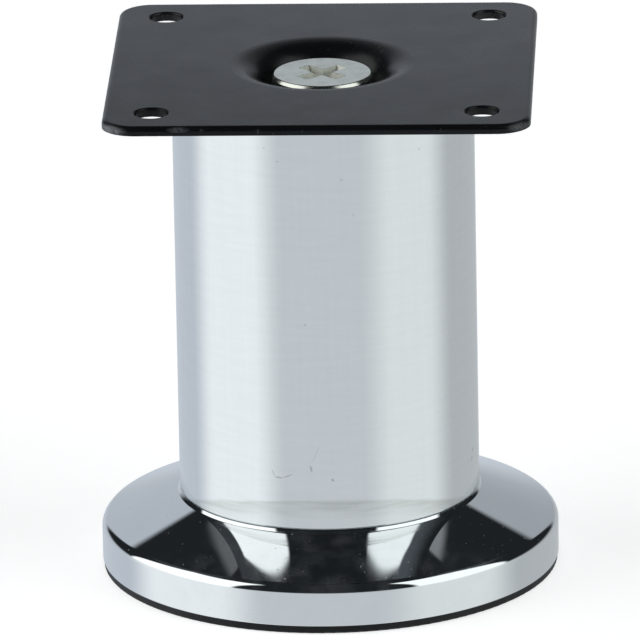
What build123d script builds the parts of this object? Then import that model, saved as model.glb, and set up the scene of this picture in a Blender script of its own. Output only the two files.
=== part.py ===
"""Round chromed steel furniture leg: a pressed plate clamped by one screw to a tube on a flared base.

Millimetres. The leg stands on Z = 0 with its axis on Z, and the plate's sides lie along X and Y.
"""

import os
from math import cos, radians, tan

from build123d import *

# The leg as a whole
leg_height = 86.5  # floor to the plate's upper face

# Mounting plate, pressed from sheet, with a dish that hides the screw head
plate_side = 70.0
plate_sheet = 1.5
plate_corner_radius = 5.5
plate_edge_round = 0.9  # rolled over by the punch
plate_hole_inset = 8.0  # hole centre to the plate's edge
plate_hole_diameter = 5.5
plate_hole_round = 0.4  # of the holes' upper edges
dish_wall_angle = 60.0  # from the plate's face
dish_lip_bend = 4.5  # inner radius of the bend at the dish's mouth
dish_floor_bend = 0.8  # inner radius of the bend round the dish's floor

# Clamp screw, pan head with a cross recess
thread_diameter = 8.0
screw_length = 16.0  # below the head
screw_tip_chamfer = 1.0
head_diameter = 16.7
head_height = 3.2
head_edge_round = 1.1
head_sink = 1.5  # head's top below the plate's face
recess_span = 9.0  # tip to tip of one wing
recess_wing_width = 2.3
recess_depth = 2.6
recess_end_angle = 27.0  # of a wing's ends, from the screw's axis
recess_turn = 45.0

# Leg tube
tube_diameter = 50.0
tube_wall = 1.2
tube_end_round = 0.45

# Nut cup, pressed from sheet and welded in the tube's top end
cup_sheet = 2.0
cup_depth = 10.0
cup_bend = 1.5  # inner radius
cup_drop = 1.0  # room under the dish, so that the screw pulls the tube against the plate

# Weld nut
nut_sides = 6
nut_across_flats = 14.0
nut_height = 6.5
nut_corner_angle = 30.0

# Base skirt, drawn from sheet
base_diameter = 76.2
base_sheet = 1.0
base_wall_height = 6.75  # lip to the corner where the cone starts
base_rim_radius = 1.8
base_cone_angle = 21.0  # from the floor
base_neck_angle = 56.0  # of the short steep neck under the tube's end, from the floor
base_neck_height = 0.5
base_root_radius = 0.3  # between the cone and the neck
base_lip_round = 0.25
base_root_bend = 2.0  # inside, where the cone turns up into the spigot
spigot_length = 9.0
spigot_end_chamfer = 0.4

# Foot pad, moulded in plastic
pad_flange = 1.3  # thickness under the base's lip
pad_flange_inset = 0.2  # flange's edge inside the base's wall
pad_edge_round = 0.4
pad_plug_height = 4.0
pad_plug_wall = 1.6
pad_floor = 1.5
pad_relief = 0.4  # hollow of the underside, so that the pad stands on its rim
pad_tread_width = 9.0
pad_hub_diameter = 22.0
pad_rib_count = 8
pad_rib_width = 1.4

# Clearances, each on one side
head_clearance = 0.35  # head to the dish's floor bend
shank_clearance = 0.5  # screw in the plate and the cup
thread_clearance = 0.05  # screw in the nut
press_clearance = 0.05  # cup and spigot in the tube
plug_clearance = 0.1  # pad's plug in the base's wall

# Heights that several pieces share
plate_under = leg_height - plate_sheet
dish_depth = head_sink + head_height
head_seat = leg_height - dish_depth
cup_top = head_seat - plate_sheet - cup_drop
nut_top = cup_top - cup_sheet

# Radii that several pieces share
tube_radius = tube_diameter / 2
tube_bore_radius = tube_radius - tube_wall
head_radius = head_diameter / 2
thread_radius = thread_diameter / 2
shank_hole_radius = thread_radius + shank_clearance
base_radius = base_diameter / 2
base_bore_radius = base_radius - base_sheet

# The base's cone, from the corner at the top of its wall to the neck that carries the tube
cone_slope = tan(radians(base_cone_angle))
cone_foot = pad_flange + base_wall_height
neck_root_radius = tube_radius + base_neck_height / tan(radians(base_neck_angle))
cone_top = cone_foot + (base_radius - neck_root_radius) * cone_slope
tube_foot = cone_top + base_neck_height


def turned(corners):
    """Solid of revolution about Z from a closed outline of (radius, height, corner rounding)."""
    points = [(radius, height) for radius, height, rounding in corners]
    roundings = [rounding for radius, height, rounding in corners]
    outline = FilletPolyline(*points, radius=roundings, close=True)
    return revolve(Plane.XZ * make_face(outline), Axis.Z)


def make_mounting_plate():
    """Square blank with its corner holes, and the dish turned as one sheet of even thickness."""
    half_angle_shift = plate_sheet * tan(radians(dish_wall_angle) / 2)
    floor_bend_tangent = dish_floor_bend * tan(radians(dish_wall_angle) / 2)
    floor_radius = head_radius + head_clearance + floor_bend_tangent
    mouth_radius = floor_radius + dish_depth / tan(radians(dish_wall_angle))
    lip_tangent = (dish_lip_bend + plate_sheet) * tan(radians(dish_wall_angle) / 2)
    dish_radius = mouth_radius + lip_tangent + plate_sheet
    dish = turned(
        [
            (dish_radius, leg_height, 0),
            (mouth_radius, leg_height, dish_lip_bend + plate_sheet),
            (floor_radius, head_seat, dish_floor_bend),
            (shank_hole_radius, head_seat, 0),
            (shank_hole_radius, head_seat - plate_sheet, 0),
            (floor_radius + half_angle_shift, head_seat - plate_sheet, dish_floor_bend + plate_sheet),
            (mouth_radius + half_angle_shift, plate_under, dish_lip_bend),
            (dish_radius, plate_under, 0),
        ]
    )
    hole_pitch = plate_side - 2 * plate_hole_inset
    holes = GridLocations(hole_pitch, hole_pitch, 2, 2) * Circle(plate_hole_diameter / 2)
    blank = RectangleRounded(plate_side, plate_side, plate_corner_radius)
    flat = extrude(Plane.XY.offset(plate_under) * blank, plate_sheet)
    upper_rim = flat.faces().sort_by(Axis.Z)[-1].outer_wire().edges()
    flat = fillet(upper_rim, plate_edge_round)
    flat -= extrude(Plane.XY.offset(plate_under) * (Sketch() + holes), plate_sheet)
    hole_rims = flat.faces().sort_by(Axis.Z)[-1].inner_wires().edges()
    flat = fillet(hole_rims, plate_hole_round)
    flat -= extrude(Plane.XY.offset(plate_under) * Circle(dish_radius), plate_sheet)
    return flat + dish


def make_recess():
    """Cross recess: two wings whose ends slope in towards the screw's axis."""
    half_top = recess_span / 2
    half_bottom = half_top - recess_depth * tan(radians(recess_end_angle))
    side = Polygon(
        (-half_top, 0), (half_top, 0), (half_bottom, -recess_depth), (-half_bottom, -recess_depth), align=None
    )
    wing = extrude(Plane.XZ * side, recess_wing_width / 2, both=True)
    return wing + Rot(Z=90) * wing


def make_clamp_screw():
    """Turned blank with its head on the dish's floor, less the cross recess."""
    head_top = leg_height - head_sink
    tip = head_seat - screw_length
    blank = turned(
        [
            (0, head_top, 0),
            (head_radius, head_top, head_edge_round),
            (head_radius, head_seat, 0),
            (thread_radius, head_seat, 0),
            (thread_radius, tip + screw_tip_chamfer, 0),
            (thread_radius - screw_tip_chamfer, tip, 0),
            (0, tip, 0),
        ]
    )
    return blank - Pos(Z=head_top) * Rot(Z=recess_turn) * make_recess()


def make_leg_tube():
    """Plain tube from the base's shoulder to the plate, its outer edges deburred."""
    return turned(
        [
            (tube_bore_radius, tube_foot, 0),
            (tube_radius, tube_foot, tube_end_round),
            (tube_radius, plate_under, tube_end_round),
            (tube_bore_radius, plate_under, 0),
        ]
    )


def make_nut_cup():
    """Shallow cup, open downwards, that fills the tube's bore."""
    cup_radius = tube_bore_radius - press_clearance
    return turned(
        [
            (shank_hole_radius, cup_top, 0),
            (cup_radius, cup_top, cup_bend + cup_sheet),
            (cup_radius, cup_top - cup_depth, 0),
            (cup_radius - cup_sheet, cup_top - cup_depth, 0),
            (cup_radius - cup_sheet, nut_top, cup_bend),
            (shank_hole_radius, nut_top, 0),
        ]
    )


def make_weld_nut():
    """Hexagon with turned-down corners on its free face, bored to the thread's diameter."""
    flat_radius = nut_across_flats / 2
    corner_radius = flat_radius / cos(radians(180 / nut_sides))
    corner_fall = (corner_radius - flat_radius) * tan(radians(nut_corner_angle))
    nut_foot = nut_top - nut_height
    bore = thread_radius + thread_clearance
    blank = turned(
        [
            (bore, nut_top, 0),
            (corner_radius, nut_top, 0),
            (corner_radius, nut_foot + corner_fall, 0),
            (flat_radius, nut_foot, 0),
            (bore, nut_foot, 0),
        ]
    )
    hexagon = RegularPolygon(flat_radius, nut_sides, major_radius=False)
    return blank & extrude(Plane.XY.offset(nut_foot) * hexagon, nut_height)


def make_base_skirt():
    """Hollow drawn base: spigot in the tube, neck under its end, cone, rim and upright wall."""
    sheet_drop = base_sheet / cos(radians(base_cone_angle))
    spigot_radius = tube_bore_radius - press_clearance
    spigot_bore = spigot_radius - base_sheet
    spigot_top = tube_foot + spigot_length
    inner_root = cone_foot + (base_radius - spigot_bore) * cone_slope - sheet_drop
    inner_corner = cone_foot + base_sheet * cone_slope - sheet_drop
    return turned(
        [
            (base_radius, pad_flange, base_lip_round),
            (base_radius, cone_foot, base_rim_radius),
            (neck_root_radius, cone_top, base_root_radius),
            (tube_radius, tube_foot, 0),
            (spigot_radius, tube_foot, 0),
            (spigot_radius, spigot_top - spigot_end_chamfer, 0),
            (spigot_radius - spigot_end_chamfer, spigot_top, 0),
            (spigot_bore, spigot_top, 0),
            (spigot_bore, inner_root, base_root_bend),
            (base_bore_radius, inner_corner, max(base_rim_radius - base_sheet, 0)),
            (base_bore_radius, pad_flange, 0),
        ]
    )


def make_foot_pad():
    """Flange under the base's lip, plug ring inside its wall, and ribs from the ring to a hub."""
    flange_radius = base_radius - pad_flange_inset
    tread_radius = flange_radius - pad_tread_width
    plug_radius = base_bore_radius - plug_clearance
    plug_bore = plug_radius - pad_plug_wall
    plug_top = pad_flange + pad_plug_height
    floor_top = pad_relief + pad_floor
    body = turned(
        [
            (0, pad_relief, 0),
            (tread_radius, pad_relief, 0),
            (tread_radius + pad_relief, 0, 0),
            (flange_radius, 0, pad_edge_round),
            (flange_radius, pad_flange, 0),
            (plug_radius, pad_flange, 0),
            (plug_radius, plug_top - pad_edge_round, 0),
            (plug_radius - pad_edge_round, plug_top, 0),
            (plug_bore, plug_top, 0),
            (plug_bore, floor_top, 0),
            (0, floor_top, 0),
        ]
    )
    hub_radius = pad_hub_diameter / 2
    hub = Circle(hub_radius) - Circle(hub_radius - pad_plug_wall)
    rib_length = plug_bore - hub_radius + pad_plug_wall
    rib_outline = Rectangle(rib_length, pad_rib_width, align=(Align.MIN, Align.CENTER))
    rib = Pos(X=hub_radius - pad_plug_wall / 2) * rib_outline
    ribs = PolarLocations(0, pad_rib_count) * rib
    return body + extrude(Plane.XY.offset(pad_relief) * (hub + ribs), plug_top - pad_relief)


pieces = {
    "mounting_plate": make_mounting_plate(),
    "clamp_screw": make_clamp_screw(),
    "leg_tube": make_leg_tube(),
    "nut_cup": make_nut_cup(),
    "weld_nut": make_weld_nut(),
    "base_skirt": make_base_skirt(),
    "foot_pad": make_foot_pad(),
}

os.makedirs("parts", exist_ok=True)
for node, shape in pieces.items():
    export_step(shape, f"parts/{node}.step")
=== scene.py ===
# %% [markdown]
# # A chromed furniture leg
# The leg is a chromed tube on a flared base, under a black plate that one screw clamps to it.
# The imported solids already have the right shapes, so most of them only get their real finish here.
# The base and the tube are turned again, much finer, because a mirror shows every facet, and the screw is
# modelled again with its thread. The room that the chrome mirrors takes as much care as the leg itself.

# %% Load the leg
import math

import bmesh
import bpy
from mathutils import Matrix, Vector


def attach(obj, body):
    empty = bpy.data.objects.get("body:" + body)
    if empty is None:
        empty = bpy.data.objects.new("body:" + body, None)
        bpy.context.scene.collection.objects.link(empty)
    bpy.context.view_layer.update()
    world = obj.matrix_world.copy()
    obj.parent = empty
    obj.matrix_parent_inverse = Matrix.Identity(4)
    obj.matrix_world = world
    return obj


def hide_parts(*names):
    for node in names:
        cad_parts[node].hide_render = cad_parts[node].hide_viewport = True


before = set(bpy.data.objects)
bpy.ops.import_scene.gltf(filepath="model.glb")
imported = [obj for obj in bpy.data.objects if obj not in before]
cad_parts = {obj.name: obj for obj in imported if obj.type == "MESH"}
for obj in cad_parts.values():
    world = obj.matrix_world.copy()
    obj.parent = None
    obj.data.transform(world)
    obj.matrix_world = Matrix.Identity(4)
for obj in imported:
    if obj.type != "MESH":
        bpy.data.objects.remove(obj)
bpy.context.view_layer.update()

MM = 0.001
print("nodes", sorted(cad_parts))

# %% [markdown]
# ## Camera
# The picture was taken from far away with a long lens, so the tube's sides are almost parallel.
# The camera circles the leg's axis: azimuth 0 looks along +Y. It is aimed at a point near the axis, and
# rolled by about a degree, because the leg leans a little to the left in the picture.

# %% Camera
IMAGE_SIDE = 640
FOCAL_PIXELS = 12555
SENSOR_WIDTH = 36.0
CAMERA_DISTANCE = 2087 * MM
CAMERA_AZIMUTH = math.radians(2.3)
CAMERA_ELEVATION = math.radians(18.2)
CAMERA_ROLL = math.radians(-1.05)
AIM_HEIGHT = 41.9 * MM
AIM_SIDE = -1.13 * MM

back = Vector((
    math.sin(CAMERA_AZIMUTH) * math.cos(CAMERA_ELEVATION),
    -math.cos(CAMERA_AZIMUTH) * math.cos(CAMERA_ELEVATION),
    math.sin(CAMERA_ELEVATION),
))
level_right = Vector((math.cos(CAMERA_AZIMUTH), math.sin(CAMERA_AZIMUTH), 0))
turn = Matrix((level_right, back.cross(level_right), back)).transposed()
turn = turn @ Matrix.Rotation(CAMERA_ROLL, 3, "Z")
aim = Vector((0, 0, AIM_HEIGHT)) + AIM_SIDE * level_right

camera_data = bpy.data.cameras.new("Camera")
camera_data.sensor_width = SENSOR_WIDTH
camera_data.lens = FOCAL_PIXELS / IMAGE_SIDE * SENSOR_WIDTH
camera = bpy.data.objects.new("Camera", camera_data)
camera.matrix_world = Matrix.LocRotScale(aim + CAMERA_DISTANCE * back, turn, None)
bpy.context.scene.collection.objects.link(camera)
bpy.context.scene.camera = camera
print("lens", round(camera_data.lens), "mm")

# %% [markdown]
# ## Two helpers for node trees
# Colours are written as the hex values of a paint chart and turned to the linear light that Blender
# mixes in. One function adds any node: its properties are keyword settings, and each input is given
# either a value or the output that feeds it.

# %% Helpers
def linear(colour_hex, level=1.0):
    """Linear RGBA of an sRGB hex colour, at a share of its light."""
    channels = [int(colour_hex[i:i + 2], 16) / 255 for i in (1, 3, 5)]
    lights = [c / 12.92 if c <= 0.04045 else ((c + 0.055) / 1.055) ** 2.4 for c in channels]
    return *(level * light for light in lights), 1.0


def add(tree, kind, inputs=None, out=0, **settings):
    """Adds a node with its settings, input values and links, and returns one of its outputs."""
    made = tree.nodes.new("ShaderNode" + kind)
    for name, value in settings.items():
        setattr(made, name, value)
    for socket, value in (inputs or {}).items():
        if isinstance(value, bpy.types.NodeSocket):
            tree.links.new(value, made.inputs[socket])
        else:
            made.inputs[socket].default_value = value
    return made.outputs[out] if made.outputs else None


SMOOTH = {"interpolation_type": "SMOOTHSTEP"}
COLOURS = {"data_type": "RGBA", "out": 2}

# %% [markdown]
# ## The room
# Chrome has no colour of its own: it shows the room. This one is a product photographer's: a tall softbox on
# each side, a pale table and backdrop, and a dark ceiling. It could be built from area lamps, but a
# world that depends on the direction alone is smoother and has no noise.
# Each direction has an azimuth, 0 on the camera's side and negative to the left, and an elevation.

# %% Directions in the room
world = bpy.data.worlds.new("Photo studio")
bpy.context.scene.world = world
world.use_nodes = True
studio = world.node_tree
studio.nodes.clear()

direction = add(studio, "TexCoord", out="Generated")
axes = add(studio, "SeparateXYZ", {0: direction}).node.outputs
front = add(studio, "Math", {0: axes["Y"], 1: -1.0}, operation="MULTIPLY")
turned = add(studio, "Math", {0: axes["X"], 1: front}, operation="ARCTAN2")
azimuth = add(studio, "Math", {0: turned}, operation="DEGREES")
tilted = add(studio, "Math", {0: axes["Z"]}, operation="ARCSINE")
elevation = add(studio, "Math", {0: tilted}, operation="DEGREES")
print("angles of the room's directions", azimuth.name, elevation.name)

# %% [markdown]
# ### What is lit
# The lights are laid over one another like sheets of paper. Each has its edges: an angle, the value where
# the light starts and the value where it is full. The two are close at the sharp top of a softbox, and far
# apart on the table, where the light fades slowly. The softboxes lean over the table, so their top edges
# bow down towards the back, and the right one has a corner cut off. Straight behind the leg, where the
# azimuth jumps from 180 to -180, the left side's light runs on over to the right, so that no seam shows.

# %% The lit room
SOFTBOX_HIGHEST = 48.0  # azimuth where the top edge is highest, on either side
SOFTBOX_BOW = 0.00125  # how fast the top edge falls, in degrees for each square degree
CORNER_SLOPE = 2.5

to_side = add(studio, "Math", {0: azimuth}, operation="ABSOLUTE")
off_side = add(studio, "Math", {0: to_side, 1: SOFTBOX_HIGHEST}, operation="SUBTRACT")
bow = add(studio, "Math", {0: off_side, 1: off_side}, operation="MULTIPLY")
lean = add(studio, "Math", {0: bow, 1: SOFTBOX_BOW, 2: elevation}, operation="MULTIPLY_ADD")
corner = add(studio, "Math", {0: elevation, 1: CORNER_SLOPE, 2: azimuth}, operation="MULTIPLY_ADD")
table, raised = (elevation, 8, -6), (elevation, -6, 8)
high, low = (elevation, 64, 60), (elevation, 38, 46)
wall_left, wall_right = (elevation, 33.15, 30.55), (elevation, 32.4, 29.8)

lights = [  # the light, then its edges
    (linear("#e6f2ff", 0.06), [(azimuth, -150, -144), (azimuth, -90, -100), low, high]),
    (linear("#e6f2ff", 0.11), [(azimuth, 138, 100), (azimuth, 80, 90), low, high]),
    (linear("#ecf3fb", 0.47), [(azimuth, 146, 154), wall_right]),
    (linear("#ebf3fe", 0.62), [(azimuth, -146, -154), wall_left]),
    (linear("#ebf3fe", 0.62), [(azimuth, 165, 180), wall_left]),
    (linear("#f2f7fb", 0.57), [table]),
    (linear("#ebf3fe", 0.70), [table, (azimuth, 20, -20)]),
    (linear("#ebf3fe", 0.70), [table, (azimuth, 165, 180)]),
    (linear("#f5faff", 0.70), [table, (azimuth, -100, -60), (azimuth, 95, 55)]),
    (linear("#f8fcff", 1.05), [table, (azimuth, -123, -96), (azimuth, -30, -58)]),
    (linear("#f9feff", 0.88), [table, (azimuth, 27, 55), (azimuth, 115, 85)]),
    (linear("#fdffff", 1.33), [raised, (lean, 59.65, 59.15), (azimuth, -116, -112.5), (azimuth, -46, -50)]),
    (linear("#fbffff", 1.28), [
        raised, (lean, 59.95, 59.35), (corner, 236, 233), (azimuth, 43, 47), (azimuth, 101, 96.5),
    ]),
]
room = linear("#dceaf6", 0.022)
for light, edges in lights:
    mask = 1.0
    for angle, begins, full in edges:
        edge = add(studio, "MapRange", {0: angle, 1: begins, 2: full}, **SMOOTH)
        mask = add(studio, "Math", {0: mask, 1: edge}, operation="MULTIPLY")
    room = add(studio, "Mix", {0: mask, 6: room, 7: light}, **COLOURS)

seen = add(studio, "LightPath", out="Is Camera Ray")
room = add(studio, "Mix", {0: seen, 6: room, 7: linear("#ffffff")}, **COLOURS)
add(studio, "OutputWorld", {"Surface": add(studio, "Background", {"Color": room, "Strength": 1.0})})
print("room nodes", len(studio.nodes))

# %% [markdown]
# ## The floor
# A pale floor just under the leg catches its shadow. It glows for the camera alone, so that it
# renders as white as paper, and chrome looks straight through it at the room, because the real
# table top mirrors the room's walls.

# %% Floor
FLOOR_SIDE = 8.0
FLOOR_LEVEL = -0.02 * MM

shape = bmesh.new()
ground = Matrix.Translation((0, 0, FLOOR_LEVEL))
bmesh.ops.create_grid(shape, x_segments=1, y_segments=1, size=FLOOR_SIDE / 2, matrix=ground)
floor_mesh = bpy.data.meshes.new("floor")
shape.to_mesh(floor_mesh)
shape.free()
floor = bpy.data.objects.new("floor", floor_mesh)
bpy.context.scene.collection.objects.link(floor)

paper = bpy.data.materials.new("White paper")
paper.use_nodes = True
tree = paper.node_tree
tree.nodes.clear()
rays = add(tree, "LightPath").node.outputs
matt = add(tree, "BsdfDiffuse", {"Color": linear("#f4f4f4")})
glow = add(tree, "Emission", {"Color": linear("#ffffff", 0.7), "Strength": rays["Is Camera Ray"]})
lit = add(tree, "AddShader", {0: matt, 1: glow})
clear = add(tree, "BsdfTransparent")
add(tree, "OutputMaterial", {"Surface": add(tree, "MixShader", {0: rays["Is Glossy Ray"], 1: lit, 2: clear})})
floor_mesh.materials.append(paper)
print("floor", FLOOR_SIDE, "m square")

# %% [markdown]
# ## The card
# An oval grey card stands close behind the leg, above the picture's edge. It shows in the cone as a grey
# wedge on each side of the tube's image. The wedges are what a near thing gives, because every place on the
# cone sees it at another angle, so it can't be part of the far room. It glows, and only mirrored rays see
# it. Its material cuts the oval from a rectangle, trims its top on a slope and fades out its foot.

# %% Card
CARD_CENTRE = Vector((-8.3, 160, 220)) * MM
CARD_HALVES = Vector((98, 1.0, 184)) * MM
CARD_EDGE = (1.0, 0.975)
CARD_FOOT = (162 * MM, 190 * MM)
CARD_TOP = (280 * MM, 274 * MM)
CARD_TOP_SLOPE = 0.2

upright = Matrix.LocRotScale(
    CARD_CENTRE, Matrix.Rotation(math.radians(90), 3, "X"), Vector((2 * CARD_HALVES.x, 2 * CARD_HALVES.z, 1)),
)
shape = bmesh.new()
bmesh.ops.create_grid(shape, x_segments=1, y_segments=1, size=0.5, matrix=upright)
card_mesh = bpy.data.meshes.new("card")
shape.to_mesh(card_mesh)
shape.free()
card = bpy.data.objects.new("card", card_mesh)
bpy.context.scene.collection.objects.link(card)

grey = bpy.data.materials.new("Grey card")
grey.use_nodes = True
tree = grey.node_tree
tree.nodes.clear()
at = add(tree, "TexCoord", out="Object")
oval = add(tree, "Mapping", {
    "Vector": at, "Location": CARD_CENTRE, "Scale": CARD_HALVES,
}, vector_type="TEXTURE")
reach = add(tree, "VectorMath", {0: oval}, out="Value", operation="LENGTH")
height = add(tree, "VectorMath", {0: at, 1: (0, 0, 1.0)}, out="Value", operation="DOT_PRODUCT")
sloping = add(tree, "VectorMath", {0: at, 1: (CARD_TOP_SLOPE, 0, 1.0)}, out="Value", operation="DOT_PRODUCT")
side = add(tree, "MapRange", {0: reach, 1: CARD_EDGE[0], 2: CARD_EDGE[1]}, **SMOOTH)
foot = add(tree, "MapRange", {0: height, 1: CARD_FOOT[0], 2: CARD_FOOT[1]}, **SMOOTH)
top = add(tree, "MapRange", {0: sloping, 1: CARD_TOP[0], 2: CARD_TOP[1]}, **SMOOTH)
edge = add(tree, "Math", {0: side, 1: foot}, operation="MULTIPLY")
edge = add(tree, "Math", {0: edge, 1: top}, operation="MULTIPLY")
across = add(tree, "SeparateXYZ", {0: oval})
light = add(tree, "MapRange", {0: across, 1: -1.0, 2: 1.0, 3: 0.14, 4: 0.265})
glow = add(tree, "Emission", {"Color": linear("#f2f8ff"), "Strength": light})
mirrored = add(tree, "LightPath", out="Is Glossy Ray")
shown = add(tree, "Math", {0: mirrored, 1: edge}, operation="MULTIPLY")
clear = add(tree, "BsdfTransparent")
add(tree, "OutputMaterial", {"Surface": add(tree, "MixShader", {0: shown, 1: clear, 2: glow})})
card_mesh.materials.append(grey)
print("card", round(2 * CARD_HALVES.x / MM), "mm wide")

# %% [markdown]
# ## Turning a piece
# The base and the tube are round, so each is turned as on a lathe: its outline is drawn once as corners, the
# corners are bevelled to arcs, and the outline is spun about the axis. It takes many steps, because a mirror
# shows every facet. Weighted normals keep a large face's mirror true beside its small roundings.

# %% Turning
LATHE_STEPS = 512
CORNER_SEGMENTS = 12
SHARP_ANGLE = math.radians(30)


def round_corner(shape, corner, radius):
    """Bevels a corner of a flat outline to an arc of that radius."""
    one, other = (edge.other_vert(corner).co - corner.co for edge in corner.link_edges)
    reach = radius / math.tan(one.angle(other) / 2)
    bmesh.ops.bevel(
        shape, geom=[corner], offset=reach, offset_type="OFFSET", affect="VERTICES",
        segments=CORNER_SEGMENTS, profile=0.5, material=-1,
    )


def finish_piece(shape, name, node):
    """Makes a piece of the bmesh: smooth, with its sharp edges kept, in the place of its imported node."""
    bmesh.ops.recalc_face_normals(shape, faces=shape.faces)
    for face in shape.faces:
        face.smooth = True
    for edge in shape.edges:
        edge.smooth = edge.calc_face_angle(0) < SHARP_ANGLE
    mesh = bpy.data.meshes.new(name)
    shape.to_mesh(mesh)
    shape.free()
    piece = bpy.data.objects.new(name, mesh)
    bpy.context.scene.collection.objects.link(piece)
    weighted = piece.modifiers.new("Weighted normals", "WEIGHTED_NORMAL")
    weighted.keep_sharp = True
    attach(piece, "root")
    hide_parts(node)
    print(name, len(mesh.polygons), "faces")
    return piece


def turn_outline(outline):
    """Spins a closed outline about the axis."""
    shape = bmesh.new()
    corners = [shape.verts.new((radius * MM, 0, height * MM)) for radius, height, rounding in outline]
    shape.faces.new(corners)
    for corner, (radius, height, rounding) in zip(corners, outline):
        if rounding:
            round_corner(shape, corner, rounding * MM)
    bmesh.ops.delete(shape, geom=shape.faces[:], context="FACES_ONLY")
    bmesh.ops.spin(
        shape, geom=shape.verts[:] + shape.edges[:], cent=(0, 0, 0), axis=(0, 0, 1), angle=math.tau,
        steps=LATHE_STEPS, use_merge=True,
    )
    bmesh.ops.remove_doubles(shape, verts=shape.verts, dist=0.0001 * MM)
    return shape


# %% [markdown]
# ## The base
# The base is drawn from one sheet of steel: an upright wall, a rounded rim, a cone, a short steep neck under
# the tube and a spigot inside it. The outline goes up the outside and comes back down the inside.

# %% Base
BASE_OUTLINE = [  # radius, height and rounding of each corner, in mm
    (38.1, 1.3, 0.25),
    (38.1, 8.05, 1.8),
    (25.3373, 12.9492, 0.3),
    (25.0, 13.4492, 0),
    (23.75, 13.4492, 0),
    (23.75, 22.0492, 0),
    (23.35, 22.4492, 0),
    (22.75, 22.4492, 0),
    (22.75, 12.8712, 2.0),
    (37.1, 7.3627, 0.8),
    (37.1, 1.3, 0),
]
base = finish_piece(turn_outline(BASE_OUTLINE), "base_skirt_turned", "base_skirt")

# %% [markdown]
# ## The tube
# The tube is cut from drawn stock, and its outer edges are deburred.

# %% Tube
TUBE_OUTLINE = [
    (23.8, 13.4492, 0),
    (25.0, 13.4492, 0.45),
    (25.0, 85.0, 0.45),
    (23.8, 85.0, 0),
]
tube = finish_piece(turn_outline(TUBE_OUTLINE), "leg_tube_turned", "leg_tube")

# %% [markdown]
# ## The screw's thread
# The screw is an M8 with a coarse thread. One turn of its outline is spun round the axis and raised by the
# pitch as it goes, so that each turn joins the one before. Two cuts then give it flat ends, and the last
# millimetre is tapered, so that it finds the nut.

# %% Thread
PITCH = 1.25
THREAD_RADIUS = 4.0
ROOT_RADIUS = 3.4
THREAD_STEPS = 36
SCREW_TIP = 65.8
HEAD_SEAT = 81.8
TIP_CHAMFER = 1.0
THREAD_OUTLINE = [(ROOT_RADIUS, 0), (ROOT_RADIUS, 0.16), (THREAD_RADIUS, 0.55), (THREAD_RADIUS, 0.70),
                  (ROOT_RADIUS, 1.09), (ROOT_RADIUS, PITCH)]  # radius and height of one turn, in mm

turns = math.ceil((HEAD_SEAT - SCREW_TIP) / PITCH) + 3
foot = SCREW_TIP - 1.5 * PITCH
shape = bmesh.new()
outline = [shape.verts.new((radius * MM, 0, (foot + height) * MM)) for radius, height in THREAD_OUTLINE]
flanks = [shape.edges.new(pair) for pair in zip(outline, outline[1:])]
bmesh.ops.spin(
    shape, geom=outline + flanks, cent=(0, 0, 0), axis=(0, 0, 1), dvec=(0, 0, PITCH * MM / THREAD_STEPS),
    angle=math.tau * turns, steps=THREAD_STEPS * turns,
)
bmesh.ops.remove_doubles(shape, verts=shape.verts, dist=0.001 * MM)
for height, side in ((SCREW_TIP, "clear_inner"), (HEAD_SEAT + 0.2, "clear_outer")):
    whole = shape.verts[:] + shape.edges[:] + shape.faces[:]
    cut = (0, 0, height * MM)
    bmesh.ops.bisect_plane(
        shape, geom=whole, plane_co=cut, plane_no=(0, 0, 1), dist=0.0001 * MM, **{side: True},
    )
open_rims = [edge for edge in shape.edges if edge.is_boundary]
bmesh.ops.holes_fill(shape, edges=open_rims, sides=0)
for vert in shape.verts:
    limit = THREAD_RADIUS * MM - TIP_CHAMFER * MM + max(vert.co.z - SCREW_TIP * MM, 0)
    reach = vert.co.xy.length
    if reach > limit:
        bmesh.ops.scale(shape, vec=(limit / reach, limit / reach, 1), verts=[vert])
print("thread", turns, "turns", len(shape.faces), "faces")

# %% [markdown]
# ## The screw's head
# The pan head is flat, and a cross recess takes the driver. The recess is drawn as a flat cross. A small
# inset makes the lip that catches the light, and the inner face is pulled down and shrunk, which gives the
# steep walls and sloping ends that the punch left. Filling between the cross and a circle makes the face.

# %% Face and recess
HEAD_TOP = 85.0
FACE_RADIUS = 8.0
HEAD_STEPS = 96
RECESS_REACH = 4.6
RECESS_HALF = 1.25
RECESS_LIP = 0.1
LIP_DROP = 0.04
RECESS_DEPTH = 1.1
RECESS_TAPER = 0.8

spokes = [(RECESS_HALF, RECESS_HALF), (RECESS_REACH, RECESS_HALF), (RECESS_REACH, -RECESS_HALF)]
cross = []
for quarter in range(4):
    spoke = Matrix.Rotation(math.radians(45 - 90 * quarter), 3, "Z")
    cross += [shape.verts.new(spoke @ Vector((x, y, HEAD_TOP)) * MM) for x, y in spokes]
recess = shape.faces.new(cross)
lip = recess.edges[:]
level = Matrix.Translation((0, 0, HEAD_TOP * MM))
circle = bmesh.ops.create_circle(shape, radius=FACE_RADIUS * MM, segments=HEAD_STEPS, matrix=level)["verts"]
rim = [edge for edge in shape.edges if all(vert in circle for vert in edge.verts)]
bmesh.ops.triangle_fill(shape, edges=lip + rim, use_beauty=True)
bmesh.ops.inset_individual(shape, faces=[recess], thickness=RECESS_LIP * MM, use_even_offset=True)
bmesh.ops.translate(shape, vec=(0, 0, -LIP_DROP * MM), verts=recess.verts)
recess = bmesh.ops.extrude_discrete_faces(shape, faces=[recess])["faces"][0]
bmesh.ops.scale(shape, vec=(RECESS_TAPER, RECESS_TAPER, 1), verts=recess.verts)
bmesh.ops.translate(shape, vec=(0, 0, -RECESS_DEPTH * MM), verts=recess.verts)
print("recess floor at", round(recess.calc_center_median().z / MM, 2), "mm")

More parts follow.
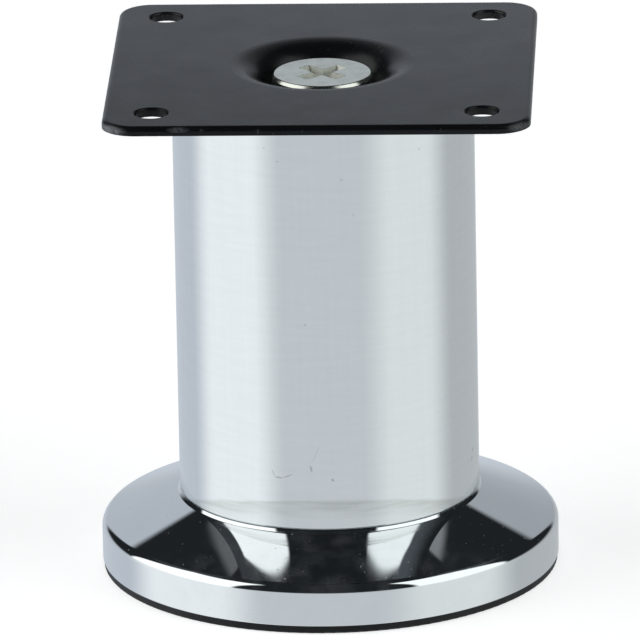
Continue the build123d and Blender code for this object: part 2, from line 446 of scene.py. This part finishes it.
# %% [markdown]
# ### The head's edge
# The head's edge is steep. Two rings are pulled down from the face's rim: the first spreads a little, and the
# second goes straight down to the seat. A small bevel on the rim gives the line of light round the face.

# %% Head's edge
HEAD_ROUND = 0.15
EDGE_SPREAD = 0.35
EDGE_DROP = 0.58

ring = rim
for spread, drop in ((EDGE_SPREAD, EDGE_DROP), (0, HEAD_TOP - EDGE_DROP - HEAD_SEAT)):
    skirt = bmesh.ops.extrude_edge_only(shape, edges=ring)["geom"]
    low = [part for part in skirt if isinstance(part, bmesh.types.BMVert)]
    sides = [part for part in skirt if isinstance(part, bmesh.types.BMEdge)]
    ring = [edge for edge in sides if all(vert in low for vert in edge.verts)]
    wider = 1 + spread / FACE_RADIUS
    bmesh.ops.scale(shape, vec=(wider, wider, 1), verts=low)
    bmesh.ops.translate(shape, vec=(0, 0, -drop * MM), verts=low)
bmesh.ops.contextual_create(shape, geom=ring)
bmesh.ops.bevel(
    shape, geom=rim, offset=HEAD_ROUND * MM, offset_type="OFFSET", affect="EDGES", segments=4, profile=0.5,
    material=-1,
)
print("open edges", sum(not edge.is_manifold for edge in shape.edges))
screw = finish_piece(shape, "clamp_screw_threaded", "clamp_screw")

# %% [markdown]
# ## Finishes
# Every finish is one Principled shader. Its constant values sit on the shader's own sockets, and only
# what changes over the surface comes from nodes. All patterns read Object coordinates, in metres, so a
# pattern of a given size has a scale of one over that size.

# %% Finish helpers
def finish(name, values):
    """A material with its constant sockets set, its tree and its Object coordinates."""
    made = bpy.data.materials.new(name)
    made.use_nodes = True
    for socket, value in values.items():
        made.node_tree.nodes["Principled BSDF"].inputs[socket].default_value = value
    return made, made.node_tree, add(made.node_tree, "TexCoord", out="Object")


def feed(tree, sockets):
    """Links outputs to the shader's sockets."""
    for socket, output in sockets.items():
        tree.links.new(output, tree.nodes["Principled BSDF"].inputs[socket])


def scale_of(size_mm):
    """Texture scale of a pattern of that size."""
    return 1 / (size_mm * MM)


def dress(node, material):
    """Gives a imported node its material."""
    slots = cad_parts[node].data.materials
    slots.clear()
    slots.append(material)


# %% [markdown]
# ## Black coated steel
# The plate is sheet steel with a thin black dip coating. It has a soft sheen at a low angle, cloudy
# patches from the dip, a fine grain and some grey dust. The coat drained to one side while it hung to
# dry, so it is glossier there. Its front corners and a place on the front edge get painted highlights:
# grey spots for the light on their rounding. Each is centred and stretched by a Mapping node, and the grain
# breaks it up.

# %% Plate
PAINTED_HIGHLIGHTS = [  # centre of each painted highlight and its half sizes in mm, and how strongly it lightens the coat
    ((-35.0, -34.0, 85.6), (5.0, 4.0, 1.0), 1.0),
    ((-33.3, -35.0, 85.8), (0.5, 1.0, 0.7), 1.0),
    ((33.8, -34.0, 85.8), (3.0, 3.0, 0.9), 0.35),
    ((-22.3, -34.9, 86.0), (2.2, 0.7, 0.6), 0.3),
]

coat, tree, at = finish("Black electrocoated steel", {"Metallic": 0.0})
cloud = add(tree, "TexNoise", {"Vector": at, "Scale": scale_of(7), "Detail": 5.0})
grain = add(tree, "TexNoise", {"Vector": at, "Scale": scale_of(0.5), "Detail": 2.0})
spots = add(tree, "TexNoise", {"Vector": at, "Scale": scale_of(0.8), "Detail": 1.0})
dust = add(tree, "MapRange", {0: spots, 1: 0.70, 2: 0.78}, **SMOOTH)
highlight_spots = None
for centre, halves, lightening in PAINTED_HIGHLIGHTS:
    spot = add(tree, "Mapping", {
        "Vector": at, "Location": [MM * c for c in centre], "Scale": [MM * h for h in halves],
    }, vector_type="TEXTURE")
    reach = add(tree, "VectorMath", {0: spot}, out="Value", operation="LENGTH")
    highlight_spot = add(tree, "MapRange", {0: reach, 1: 1.0, 2: 0.4, 4: lightening}, **SMOOTH)
    highlight_spots = highlight_spot if highlight_spots is None else add(tree, "Math", {0: highlight_spots, 1: highlight_spot}, operation="MAXIMUM")
patchy = add(tree, "MapRange", {0: grain, 1: 0.3, 2: 0.6, 3: 0.4, 4: 1.0}, **SMOOTH)
painted_highlight = add(tree, "Math", {0: highlight_spots, 1: patchy}, operation="MULTIPLY")
drained = add(tree, "VectorMath", {0: at, 1: (0.4, 1.0, 0)}, out="Value", operation="DOT_PRODUCT")
gloss = add(tree, "MapRange", {0: drained, 1: -40 * MM, 2: 40 * MM, 3: 0.18, 4: 0.36})
black = add(tree, "Mix", {0: cloud, 6: linear("#121314"), 7: linear("#1a1b1d")}, **COLOURS)
dusty = add(tree, "Mix", {0: dust, 6: black, 7: linear("#3c3e40")}, **COLOURS)
# painted highlights: the front corners and a place on the front edge are lightened to grey for the light on
# their rounding
highlighted = add(tree, "Mix", {0: painted_highlight, 6: dusty, 7: linear("#9a9ca0")}, **COLOURS)
sheen = add(tree, "MapRange", {0: cloud, 1: 0.3, 2: 0.7, 3: 0.26, 4: 0.31})
peel = add(tree, "Bump", {"Strength": 0.35, "Distance": 0.02 * MM, "Height": grain})
feed(tree, {"Base Color": highlighted, "Specular IOR Level": gloss, "Roughness": sheen, "Normal": peel})
dress("mounting_plate", coat)
print(coat.name, len(tree.nodes), "nodes")

# %% [markdown]
# ## Zinc plate
# The screw is bright zinc plated. Zinc is a little darker and warmer than chrome, and the head keeps faint
# rings from its heading die and a cloudy passivation. The punched recess is duller than the face.

# %% Screw finish
zinc, tree, at = finish("Zinc plated steel", {"Metallic": 1.0})
across = add(tree, "VectorMath", {0: at, 1: (1.0, 1.0, 0.0)}, operation="MULTIPLY")
radius = add(tree, "VectorMath", {0: across}, out="Value", operation="LENGTH")
rings = add(tree, "TexNoise", {"W": radius, "Scale": scale_of(0.35), "Detail": 2.0}, noise_dimensions="1D")
cloud = add(tree, "TexNoise", {"Vector": at, "Scale": scale_of(2.5), "Detail": 4.0})
tint = add(tree, "Mix", {0: cloud, 6: linear("#d6d8ce"), 7: linear("#e2e4db")}, **COLOURS)
matt = add(tree, "MapRange", {0: cloud, 1: 0.3, 2: 0.7, 3: 0.16, 4: 0.3})
height = add(tree, "SeparateXYZ", {0: at}, out="Z")
sunk = add(tree, "MapRange", {0: height, 1: HEAD_TOP * MM, 2: (HEAD_TOP - 0.1) * MM, 3: 0.0, 4: 0.3})
inner = add(tree, "MapRange", {0: radius, 1: 6.0 * MM, 2: 5.5 * MM})
rough = add(tree, "Math", {0: sunk, 1: inner, 2: matt}, operation="MULTIPLY_ADD")
lathe = add(tree, "Bump", {"Strength": 0.12, "Distance": 0.01 * MM, "Height": rings})
feed(tree, {"Base Color": tint, "Roughness": rough, "Normal": lathe})
screw.data.materials.append(zinc)
print(zinc.name, len(tree.nodes), "nodes")

# %% [markdown]
# ## Chromed tube
# The tube is drawn steel under a thin bright chrome plate. Drawing leaves long faint streaks, and a cloth
# leaves faint wipes round the tube. Both patterns lie on the unrolled tube: its angle times its radius runs
# across, and its height runs up, so that a pattern can be drawn out along or across the tube.

# %% Streaks and wipes
TUBE_RADIUS = 25.0

chrome, tree, at = finish("Chrome plated steel tube", {"Metallic": 1.0})
place = add(tree, "SeparateXYZ", {0: at}).node.outputs
front = add(tree, "Math", {0: place["Y"], 1: -1.0}, operation="MULTIPLY")
angle = add(tree, "Math", {0: place["X"], 1: front}, operation="ARCTAN2")
around = add(tree, "Math", {0: angle, 1: TUBE_RADIUS * MM}, operation="MULTIPLY")
unrolled = add(tree, "CombineXYZ", {0: around, 1: place["Z"]})

long_grain = add(tree, "VectorMath", {0: unrolled, 1: (1.0, 0.03, 1.0)}, operation="MULTIPLY")
streaks = add(tree, "TexNoise", {"Vector": long_grain, "Scale": scale_of(0.9), "Detail": 3.0})
wiped = add(tree, "VectorMath", {0: unrolled, 1: (0.12, 1.0, 1.0)}, operation="MULTIPLY")
wipes = add(tree, "TexNoise", {"Vector": wiped, "Scale": scale_of(1.0), "Detail": 4.0})
touches = add(tree, "Mix", {0: 0.6, 2: streaks, 3: wipes})
plate = add(tree, "Mix", {0: touches, 6: linear("#dfe3e5"), 7: linear("#eceeee")}, **COLOURS)
print("unrolled tube", round(math.tau * TUBE_RADIUS), "mm round")

# %% [markdown]
# ### Scratches
# A few scratches show dark against the mirror. Each is a long thin spot on the unrolled tube, centred, turned
# and stretched by a Mapping node.

# %% Scratches
MARKS = [  # angle from the front, height in mm, half length and half width in mm, turn, strength
    (-19.5, 23.15, 0.8, 0.16, -67, 0.2),
    (-17.3, 22.45, 0.9, 0.19, -3, 0.34),
    (-13.8, 22.80, 1.1, 0.17, 23, 0.28),
    (-4.7, 24.25, 0.7, 0.22, -77, 0.34),
    (-2.8, 26.80, 1.95, 0.14, 66, 0.12),
    (3.4, 22.30, 0.35, 0.24, -30, 0.36),
    (74.6, 21.3, 0.55, 0.25, 70, 0.4),
    (73.6, 19.9, 0.6, 0.25, 70, 0.4),
    (-20.8, 79.3, 0.3, 0.15, 60, 0.2),
    (-15.6, 77.1, 0.22, 0.16, 0, 0.3),
    (8.7, 74.1, 0.3, 0.15, 20, 0.25),
    (41.0, 77.5, 0.25, 0.18, 80, 0.25),
    (13.1, 67.9, 0.3, 0.12, -40, 0.2),
    (-6.0, 49.2, 0.35, 0.13, 30, 0.3),
]

marks = None
for turned_by, height, half_length, half_width, tilt, strength in MARKS:
    centre = (math.radians(turned_by) * TUBE_RADIUS * MM, height * MM, 0)
    spot = add(tree, "Mapping", {
        "Vector": unrolled, "Location": centre, "Rotation": (0, 0, math.radians(tilt)),
        "Scale": (half_length * MM, half_width * MM, 1),
    }, vector_type="TEXTURE")
    reach = add(tree, "VectorMath", {0: spot}, out="Value", operation="LENGTH")
    mark = add(tree, "MapRange", {0: reach, 1: 1.1, 2: 0.5, 4: strength}, **SMOOTH)
    marks = mark if marks is None else add(tree, "Math", {0: marks, 1: mark}, operation="MAXIMUM")
print("scratches", len(MARKS))

# %% [markdown]
# ### A darker band at the foot
# The foot of the tube is darker and rougher in a band. Its upper edge is a little wavy and slopes down
# towards the back, and the band is strongest along that edge. There it is darker and rougher than the clean
# plate.

# %% Foot band and tube finish
BAND_TOP = 10.6  # height of its upper edge at the axis, in mm
BAND_SLOPE = 0.324
BAND_DEPTH = 3.2

level = add(tree, "VectorMath", {0: at, 1: (0, BAND_SLOPE, 1.0)}, out="Value", operation="DOT_PRODUCT")
wavy = add(tree, "MapRange", {0: wipes, 1: 0.3, 2: 0.7, 3: -0.25 * MM, 4: 0.25 * MM})
edge = add(tree, "Math", {0: level, 1: wavy}, operation="ADD")
under = add(tree, "MapRange", {0: edge, 1: (BAND_TOP + 0.4) * MM, 2: (BAND_TOP - 0.4) * MM}, **SMOOTH)
fading = add(tree, "MapRange", {
    0: edge, 1: (BAND_TOP - BAND_DEPTH) * MM, 2: BAND_TOP * MM, 3: 0.1, 4: 1.0,
})
overlay_mask = add(tree, "Math", {0: under, 1: fading}, operation="MULTIPLY")
mottle = add(tree, "MapRange", {0: wipes, 1: 0.3, 2: 0.7, 3: 0.5, 4: 1.4})
foot_band = add(tree, "Math", {0: overlay_mask, 1: mottle}, operation="MULTIPLY")

# the band darkens the chrome's colour and raises its roughness below its wavy upper edge
banded = add(tree, "Mix", {0: foot_band, 6: plate, 7: linear("#cdd0ce")}, **COLOURS)
marked = add(tree, "Mix", {0: marks, 6: banded, 7: linear("#5c5f62")}, **COLOURS)
haze = add(tree, "TexNoise", {"Vector": at, "Scale": scale_of(9), "Detail": 3.0})
mirror = add(tree, "MapRange", {0: haze, 1: 0.3, 2: 0.7, 3: 0.02, 4: 0.05})
rough = add(tree, "Math", {0: foot_band, 1: 0.1, 2: mirror}, operation="MULTIPLY_ADD")
feed(tree, {"Base Color": marked, "Roughness": rough})
tube.data.materials.append(chrome)
print(chrome.name, len(tree.nodes), "nodes")

# %% [markdown]
# ## Mirror chrome
# The base is polished before it is plated, so it is a clear mirror. In its dark parts tiny specks of dust
# show pale, because a rough speck scatters the light of the whole room. Where it was touched at the front, a
# film of grease does the same, much more faintly. It lies over the metal, so the shader is a little less
# metallic there.

# %% Base finish
bright, tree, at = finish("Polished chrome plate", {})
haze = add(tree, "TexNoise", {"Vector": at, "Scale": scale_of(6), "Detail": 3.0})
spots = add(tree, "TexNoise", {"Vector": at, "Scale": scale_of(0.6), "Detail": 1.0})
dust = add(tree, "MapRange", {0: spots, 1: 0.71, 2: 0.80, 3: 0.0, 4: 0.3}, **SMOOTH)
to_front = add(tree, "VectorMath", {0: at, 1: (0, -1.0, 0)}, out="Value", operation="DOT_PRODUCT")
front = add(tree, "MapRange", {0: to_front, 1: 22 * MM, 2: 28 * MM}, **SMOOTH)
touched = add(tree, "TexNoise", {"Vector": at, "Scale": scale_of(4), "Detail": 4.0})
prints = add(tree, "MapRange", {0: touched, 1: 0.4, 2: 0.75, 3: 0.0, 4: 0.06}, **SMOOTH)
overlay_mask = add(tree, "Math", {0: prints, 1: front}, operation="MULTIPLY")
bare = add(tree, "Math", {0: 1.0, 1: overlay_mask}, operation="SUBTRACT")
plate = add(tree, "Mix", {0: haze, 6: linear("#e0e4e6"), 7: linear("#e7eaeb")}, **COLOURS)
mirror = add(tree, "MapRange", {0: haze, 1: 0.3, 2: 0.7, 3: 0.015, 4: 0.04})
rough = add(tree, "Math", {0: dust, 1: mirror}, operation="ADD")
feed(tree, {"Base Color": plate, "Metallic": bare, "Roughness": rough})
base.data.materials.append(bright)
print(bright.name, len(tree.nodes), "nodes")

# %% [markdown]
# ## Black plastic
# The pad is moulded in black polythene. Its mould was spark-eroded, which leaves a fine even grain and a
# dull sheen.

# %% Pad finish
plastic, tree, at = finish("Moulded black polythene", {"Metallic": 0.0, "Specular IOR Level": 0.35})
cloud = add(tree, "TexNoise", {"Vector": at, "Scale": scale_of(5), "Detail": 3.0})
grain = add(tree, "TexNoise", {"Vector": at, "Scale": scale_of(0.3), "Detail": 2.0})
black = add(tree, "Mix", {0: cloud, 6: linear("#0a0b0c"), 7: linear("#101113")}, **COLOURS)
dull = add(tree, "MapRange", {0: cloud, 1: 0.3, 2: 0.7, 3: 0.45, 4: 0.6})
spark = add(tree, "Bump", {"Strength": 0.3, "Distance": 0.03 * MM, "Height": grain})
feed(tree, {"Base Color": black, "Roughness": dull, "Normal": spark})
dress("foot_pad", plastic)
print(plastic.name, len(tree.nodes), "nodes")

# %% [markdown]
# ## Bare steel
# The cup and the nut inside the tube are left as they were pressed: grey oiled steel with a mottled skin.

# %% Inner pieces' finish
steel, tree, at = finish("Pressed bare steel", {"Metallic": 1.0})
cloud = add(tree, "TexNoise", {"Vector": at, "Scale": scale_of(3), "Detail": 5.0})
pressing = add(tree, "VectorMath", {0: at, 1: (1.0, 1.0, 0.1)}, operation="MULTIPLY")
lines = add(tree, "TexNoise", {"Vector": pressing, "Scale": scale_of(0.25), "Detail": 2.0})
grey = add(tree, "Mix", {0: cloud, 6: linear("#77797b"), 7: linear("#9b9c9c")}, **COLOURS)
dull = add(tree, "MapRange", {0: cloud, 1: 0.3, 2: 0.7, 3: 0.3, 4: 0.5})
skin = add(tree, "Bump", {"Strength": 0.2, "Distance": 0.02 * MM, "Height": lines})
feed(tree, {"Base Color": grey, "Roughness": dull, "Normal": skin})
dress("nut_cup", steel)
dress("weld_nut", steel)
print(steel.name, len(tree.nodes), "nodes")

# %% [markdown]
# ## View transform
# The picture is rendered with the Standard view transform.

# %% View transform
bpy.context.scene.view_settings.view_transform = "Standard"
